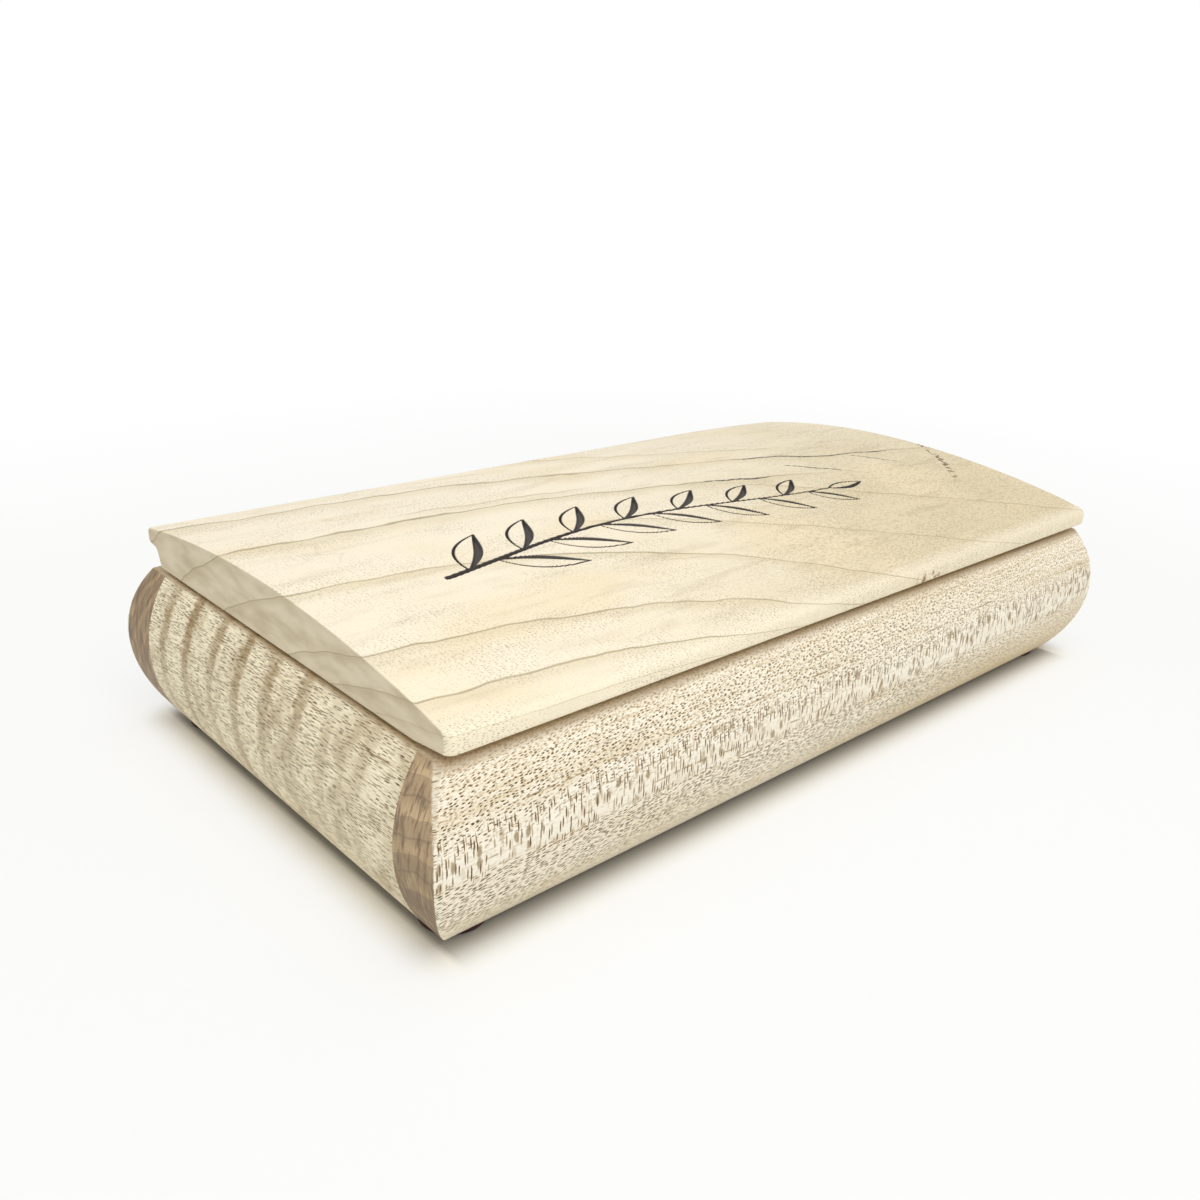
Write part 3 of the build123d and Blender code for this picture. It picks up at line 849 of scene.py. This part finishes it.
class KEEPSAKE_OT_lid(bpy.types.Operator):
    """Makes the arched lid with its carved sprig, softened ends and hinge mortises"""

    bl_idname = "keepsake.lid"
    bl_label = "Lid"

    def execute(self, context):
        sizes = context.scene.keepsake_sizes
        strokes = sprig_strokes(sizes)
        marks = np.concatenate(strokes)[:, :2]
        low, high = marks.min(axis=0) - CARVE_MARGIN, marks.max(axis=0) + CARVE_MARGIN
        fine_x = np.arange(low[0], high[0], sizes.carve_step)
        fine_y = np.arange(low[1], high[1], sizes.carve_step)
        front_y = np.linspace(LID_LOW[1] + EDGE_ROOM * FRONT_TOP_RADIUS, low[1], 8)[:-1]
        back_y = np.linspace(high[1], LID_HIGH[1] - EDGE_ROOM * LIP_RADIUS, 14)[1:]
        leaf_boxes = [np.array(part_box(f"hinge_{side}_lid_leaf")) for side in ("left", "right")]
        mortise_y = leaf_boxes[0][0][1] - MORTISE_PLAY
        under_y = np.array([mortise_y + TINY, mortise_y - TINY, UNDER_LINE, -UNDER_LINE])
        outline, arch = lid_outline(np.r_[front_y, fine_y, back_y], under_y)
        mortises = [(box[0][0] - MORTISE_PLAY, box[1][0] + MORTISE_PLAY) for box in leaf_boxes]
        jambs = [jamb + nudge for mortise in mortises for jamb in mortise for nudge in (-TINY, TINY)]
        # Lines along the lid: a quarter circle at both ends for the arris, fine ones through the carving
        half = LID_HIGH[0]
        radius = sizes.lid_arris
        corner = sizes.lid_corner
        quarter = radius * (1 - np.cos(np.linspace(0, pi / 2, 5)))
        quarter = np.r_[quarter, corner * (1 - np.cos(np.linspace(pi / 4, pi / 2, 5)))]
        plain = np.arange(-half + PLAIN_ROOM[0], half - PLAIN_ROOM[1], PLAIN_STEP)
        plain = plain[(plain < low[0]) | (plain > high[0])]
        lines = np.unique(np.r_[-half + quarter, plain, fine_x, jambs, half - quarter])
        shrink = drawn_in(half - np.abs(lines), radius)
        # One more ring inside each end keeps the end face flat up to its edge
        lines = np.r_[-half, lines, half]
        shrink = np.r_[END_INSET * radius, shrink, END_INSET * radius]
        section = outline + shrink[:, None, None] * inward_normals(outline)
        rings = np.dstack([np.broadcast_to(lines[:, None], section.shape[:2]), section])
        # The front corners are rounded in plan: points near the front move back as on a quarter circle
        moved = drawn_in(half - np.abs(lines), corner)[:, None]
        rings[..., 1] += moved * np.clip(1 - (outline[:, 0] - LID_LOW[1]) / (CORNER_FADE * corner), 0, 1)
        carving = np.full(section.shape[:2], -CARVE_MARGIN)
        inner_lines = (lines >= low[0]) & (lines <= high[0])
        columns = arch[(outline[arch, 0] >= low[1]) & (outline[arch, 0] <= high[1])]
        carving[np.ix_(inner_lines, columns)] = carving_inside(
            lines[inner_lines], outline[columns, 0], strokes, CARVE_MARGIN
        )
        # The strokes sink in a smooth step over the slope of their sides
        sunk = np.clip((carving + CARVE_LEAD) / CARVE_SLOPE, 0, 1)
        rings[..., 2] -= sizes.carve_depth * sunk**2 * (3 - 2 * sunk)
        # The back right corner is sanded off a little: the product of ramps along the lid, across it and
        # up from the lip's underside, squared
        lip = LIP_RISE + LIP_LIFT
        worn = np.clip((lines - half) / CORNER_WORN + 1, 0, 1)[:, None]
        worn = worn * np.clip((outline[:, 0] - LID_HIGH[1]) / CORNER_WORN + 1, 0, 1)
        worn = worn * np.clip((outline[:, 1] - lip) / (LID_BACK_THICK - lip), 0, 1)
        rings[..., 2] -= sizes.corner_worn * worn**2
        for start, stop in mortises:
            cut = (rings[..., 0] > start) & (rings[..., 0] < stop) & (rings[..., 1] > mortise_y)
            rings[..., 2] = np.where(cut, np.maximum(rings[..., 2], LEAF_THICK), rings[..., 2])
        rings[..., 2] += LID_LOW[2]
        made = maple_lid(context.scene.keepsake_colours)
        piece = skin("carved_lid", rings, made, "lid_assembly", "lid")
        end_grain = np.broadcast_to((shrink > radius * 0.5)[:, None], carving.shape)
        for name, value in (("carving", carving / MM), ("end_grain", end_grain)):
            attribute = piece.data.attributes.new(name, "FLOAT", "POINT")
            attribute.data.foreach_set("value", value.ravel().astype(np.float32))
        return {"FINISHED"}


class KEEPSAKE_OT_walls(bpy.types.Operator):
    """Finishes the four walls and the bottom panel in maple"""

    bl_idname = "keepsake.walls"
    bl_label = "Walls"

    def execute(self, context):
        colours = context.scene.keepsake_colours
        finishes = (
            (maple_walls(colours), ("front_wall", "back_wall")),
            (curly_maple(colours), ("left_wall", "right_wall")),
            (plain_maple(colours), ("bottom_panel",)),
        )
        for made, nodes in finishes:
            for node in nodes:
                dress(node, made)
        return {"FINISHED"}


class KEEPSAKE_OT_hinges(bpy.types.Operator):
    """Finishes the hinge leaves, pins and screws in brass"""

    bl_idname = "keepsake.hinges"
    bl_label = "Hinges"

    def execute(self, context):
        made = drawn_brass(context.scene.keepsake_colours)
        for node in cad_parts:
            if node.startswith("hinge_"):
                dress(node, made)
        return {"FINISHED"}


def turned_disc(node, lower_round, count=56):
    """Rings about the upright axis of a node's box: a disc whose lower edge is a quarter circle. Each
    ring has a radius and a height, and its points are radius * (cos, sin) of equal angles."""
    low, high = (np.array(corner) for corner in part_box(node))
    middle = (low + high) / 2
    wide = (high[0] - low[0]) / 2
    bend = np.linspace(0, pi / 2, 6)
    radius = np.r_[wide / 2, wide - lower_round * (1 - np.sin(bend)), wide, wide / 2]
    height = np.r_[low[2], low[2] + lower_round * (1 - np.cos(bend)), high[2], high[2]]
    angle = np.linspace(0, 2 * pi, count, endpoint=False)
    rings = np.empty((len(radius), count, 3))
    rings[..., 0] = middle[0] + radius[:, None] * np.cos(angle)
    rings[..., 1] = middle[1] + radius[:, None] * np.sin(angle)
    rings[..., 2] = height[:, None]
    return rings


class KEEPSAKE_OT_feet(bpy.types.Operator):
    """Makes the four leather feet"""

    bl_idname = "keepsake.feet"
    bl_label = "Feet"

    def execute(self, context):
        made = foot_leather(context.scene.keepsake_colours)
        for node in ("foot_front_left", "foot_front_right", "foot_back_left", "foot_back_right"):
            rings = turned_disc(node, context.scene.keepsake_sizes.foot_round)
            skin(f"leather_{node}", rings, made, "box", node)
        return {"FINISHED"}


class KEEPSAKE_OT_bumpers(bpy.types.Operator):
    """Makes the two soft dots under the lid"""

    bl_idname = "keepsake.bumpers"
    bl_label = "Bumpers"

    def execute(self, context):
        made = clear_rubber(context.scene.keepsake_colours)
        for node in ("lid_bumper_left", "lid_bumper_right"):
            low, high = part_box(node)
            rings = turned_disc(node, (high[2] - low[2]) * 0.7, 40)
            skin(f"soft_{node}", rings, made, "lid_assembly", node)
        return {"FINISHED"}


# Waves of the felt's nap in radians per metre: two that multiply, with a lag, and a slanted one
NAP_X, NAP_Y, NAP_LAG = 90, 130, 1.3
SLANT_X, SLANT_Y = 210, 170


class KEEPSAKE_OT_lining(bpy.types.Operator):
    """Lays the felt on the bottom panel"""

    bl_idname = "keepsake.lining"
    bl_label = "Lining"

    def execute(self, context):
        low, high = (np.array(corner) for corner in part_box("floor_lining"))
        nap = context.scene.keepsake_sizes.felt_nap
        thick = high[2] - low[2]
        x = np.linspace(low[0], high[0], 180)
        y = np.linspace(low[1], high[1], 90)
        # The upper face: two crossing sines for the nap, falling to the cut edges as a square root
        wave = np.sin(x[:, None] * NAP_X) * np.sin(y * NAP_Y + NAP_LAG)
        wave = wave + np.sin(x[:, None] * SLANT_X + y * SLANT_Y)
        edge_x, edge_y = np.minimum(x - low[0], high[0] - x), np.minimum(y - low[1], high[1] - y)
        edge = np.minimum(edge_x[:, None], edge_y)
        top = low[2] + (thick - nap * (0.5 + 0.25 * wave)) * np.sqrt(np.clip(0.3 + edge / thick, 0, 1))
        upper = np.stack(np.broadcast_arrays(x[:, None], y, top), axis=-1)
        lower = np.stack(np.broadcast_arrays(x[:, None], y[::-1], low[2]), axis=-1)
        rings = np.concatenate([upper, lower], axis=1)[:, ::-1]
        made = wool_felt(context.scene.keepsake_colours)
        piece = skin("felt_lining", rings, made, "box", "floor_lining")
        return {"FINISHED"}


def seen_rays(node):
    """Where the backdrop is looked at, straight, in a reflection or through something clear."""
    rays = node("LightPath").node.outputs
    seen = node("Math.MAXIMUM", rays["Is Camera Ray"], rays["Is Glossy Ray"])
    return node("Math.MAXIMUM", seen, rays["Is Transmission Ray"])


# In mm: half the length and width of the box at the floor, and how far from there its shadow, the painted
# warm light from its wood, the painted shade along its long sides and the paper's own shade reach
FOOTPRINT = (131.0, 67.0, 0.0)
SHADOW_REACH = 13.0
WARM_REACH = 30.0
DIM_REACH = 11.0
PAPER_REACH = 420.0


def white_paper(colours):
    """Matt white paper: it takes the box's shadow, most of it close to the box, and far away it meets the
    white of the backdrop. What is looked at there is a share of white that grows with the distance from
    the box's footprint, length(max(|place| - footprint, 0)). Close to the box painted warm light stands
    for the light that the wood throws on it, and close along the long sides painted shade makes it a
    little dimmer."""
    made, node, _, place = new_finish("white_paper")
    beyond = node("VectorMath.SUBTRACT", node("VectorMath.ABSOLUTE", place), FOOTPRINT)
    beyond = node("VectorMath.MAXIMUM", beyond, (0.0, 0.0, 0.0))
    away = node("VectorMath.LENGTH", beyond).node.outputs["Value"]
    near = node("MapRange.SMOOTHSTEP", away, 0.0, SHADOW_REACH, 0.0, 0.7)
    far = node("MapRange.SMOOTHSTEP", away, SHADOW_REACH, PAPER_REACH, 0.0, 0.3)
    share = node("Math.ADD", near, far)
    sides = node("SeparateXYZ", beyond).node.outputs
    # Painted warm light close to the box, and painted shade along its long sides
    tone = coat(
        node,
        colours.floor,
        ((away, WARM_REACH, 0.0, 0.0, 0.3), colours.lid_warm),
        ((sides["Y"], DIM_REACH, 0.0, 0.0, 0.5), node("MapRange", sides["X"], 2.0, 0.0), BLACK),
    )
    shader = made.node_tree.nodes["Principled BSDF"].outputs[0]
    glow = node("Emission", WHITE, 1.0)
    mixed = node("MixShader", node("Math.MULTIPLY", share, seen_rays(node)), shader, glow)
    made.node_tree.links.new(mixed, made.node_tree.nodes["Material Output"].inputs["Surface"])
    return set_shader(made, Base_Color=tone, Roughness=1.0, Specular_IOR_Level=0.0)


def white_room(strength):
    """Even light from all sides, and a white backdrop where it is looked at."""
    world = bpy.data.worlds.new("white_room")
    world.use_nodes = True
    node = partial(add, world.node_tree)
    level = node("MapRange", seen_rays(node), 0.0, 1.0, strength, 1.0)
    background = world.node_tree.nodes["Background"]
    fill(world.node_tree, background.inputs["Color"], WHITE)
    fill(world.node_tree, background.inputs["Strength"], level)
    return world


class KEEPSAKE_OT_stage(bpy.types.Operator):
    """Sets the floor, the soft light and the camera"""

    bl_idname = "keepsake.stage"
    bl_label = "Stage"

    def execute(self, context):
        scene = context.scene
        stage = scene.keepsake_stage
        scene.view_settings.view_transform = "Standard"
        half = stage.floor_size / 2
        mesh = bpy.data.meshes.new("floor")
        corners = [(-half, -half, 0), (half, -half, 0), (half, half, 0), (-half, half, 0)]
        mesh.from_pydata(corners, [], [(0, 1, 2, 3)])
        mesh.materials.append(white_paper(scene.keepsake_colours))
        floor = bpy.data.objects.new("floor", mesh)
        scene.world = white_room(stage.sky)
        light = bpy.data.lights.new("key_lamp", "AREA")
        light.size = stage.key_size
        light.energy = stage.key_power
        lamp = bpy.data.objects.new("key_lamp", light)
        lamp.location = stage.key_place
        lamp.rotation_euler = (-Vector(stage.key_place)).to_track_quat("-Z", "Y").to_euler()
        data = bpy.data.cameras.new("camera")
        data.lens = stage.camera_lens
        data.clip_start = 0.01
        camera = bpy.data.objects.new("camera", data)
        turn = Matrix.Rotation(-stage.camera_yaw, 4, "Z")
        turn = turn @ Matrix.Rotation(pi / 2 - stage.camera_dip, 4, "X")
        turn = turn @ Matrix.Rotation(stage.camera_roll, 4, "Z")
        camera.matrix_world = Matrix.Translation(stage.camera_place) @ turn
        for thing in (floor, lamp, camera):
            scene.collection.objects.link(thing)
        scene.camera = camera
        return {"FINISHED"}


OPERATORS = (
    KEEPSAKE_OT_walls,
    KEEPSAKE_OT_lid,
    KEEPSAKE_OT_hinges,
    KEEPSAKE_OT_bumpers,
    KEEPSAKE_OT_lining,
    KEEPSAKE_OT_feet,
    KEEPSAKE_OT_stage,
)
GROUPS = {
    "keepsake_sizes": KeepsakeSizes,
    "keepsake_colours": KeepsakeColours,
    "keepsake_stage": KeepsakeStage,
}


class KEEPSAKE_PT_panel(bpy.types.Panel):
    """Lists the steps that dress the box, and their settings"""

    bl_label = "Keepsake box"
    bl_idname = "KEEPSAKE_PT_panel"
    bl_space_type = "VIEW_3D"
    bl_region_type = "UI"
    bl_category = "Keepsake"

    def draw(self, context):
        for operator in OPERATORS:
            self.layout.operator(operator.bl_idname)
        for name, group in GROUPS.items():
            for setting in group.__annotations__:
                self.layout.prop(getattr(context.scene, name), setting)


CLASSES = (*GROUPS.values(), *OPERATORS, KEEPSAKE_PT_panel)


def register():
    for cls in CLASSES:
        bpy.utils.register_class(cls)
    for name, group in GROUPS.items():
        setattr(bpy.types.Scene, name, bpy.props.PointerProperty(type=group))


def unregister():
    for name in GROUPS:
        delattr(bpy.types.Scene, name)
    for cls in reversed(CLASSES):
        bpy.utils.unregister_class(cls)


def main():
    register()
    for operator in OPERATORS:
        group, name = operator.bl_idname.split(".")
        getattr(getattr(bpy.ops, group), name)()


if __name__ == "__main__":
    main()
